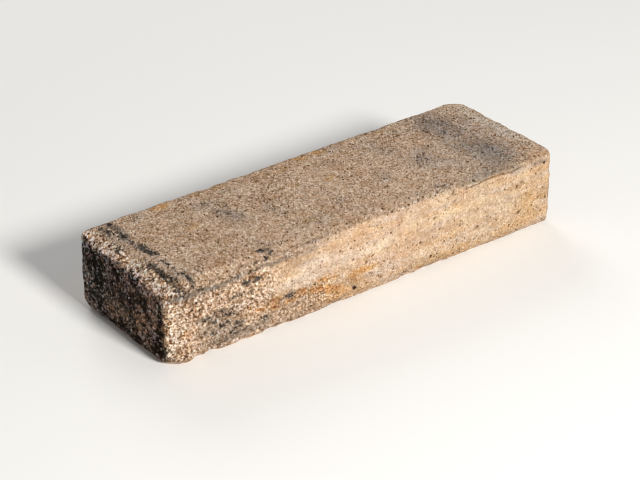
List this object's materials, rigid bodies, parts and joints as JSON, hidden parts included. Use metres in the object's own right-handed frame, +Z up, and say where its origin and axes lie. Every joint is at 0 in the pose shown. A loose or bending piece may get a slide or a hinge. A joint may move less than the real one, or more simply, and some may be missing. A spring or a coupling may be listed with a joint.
{
  "type": "concrete wall block",
  "caption": "Slim solid concrete wall block with flat beds and tumbled, worn and chipped arrises, sand coloured with charcoal streaks.",
  "frame": {"origin": "middle of the bottom bed, on the plane that the block rests on", "axes": "+X along the length, +Y across the bed from the bright face to the back, +Z up from the bottom bed to the top bed; the worn end is -X"},
  "size_m": [0.3, 0.096, 0.053],
  "materials": {
    "concrete": "matte"
  },
  "bodies": {
    "root": {"wall_block": "concrete"}
  },
  "joints": []
}
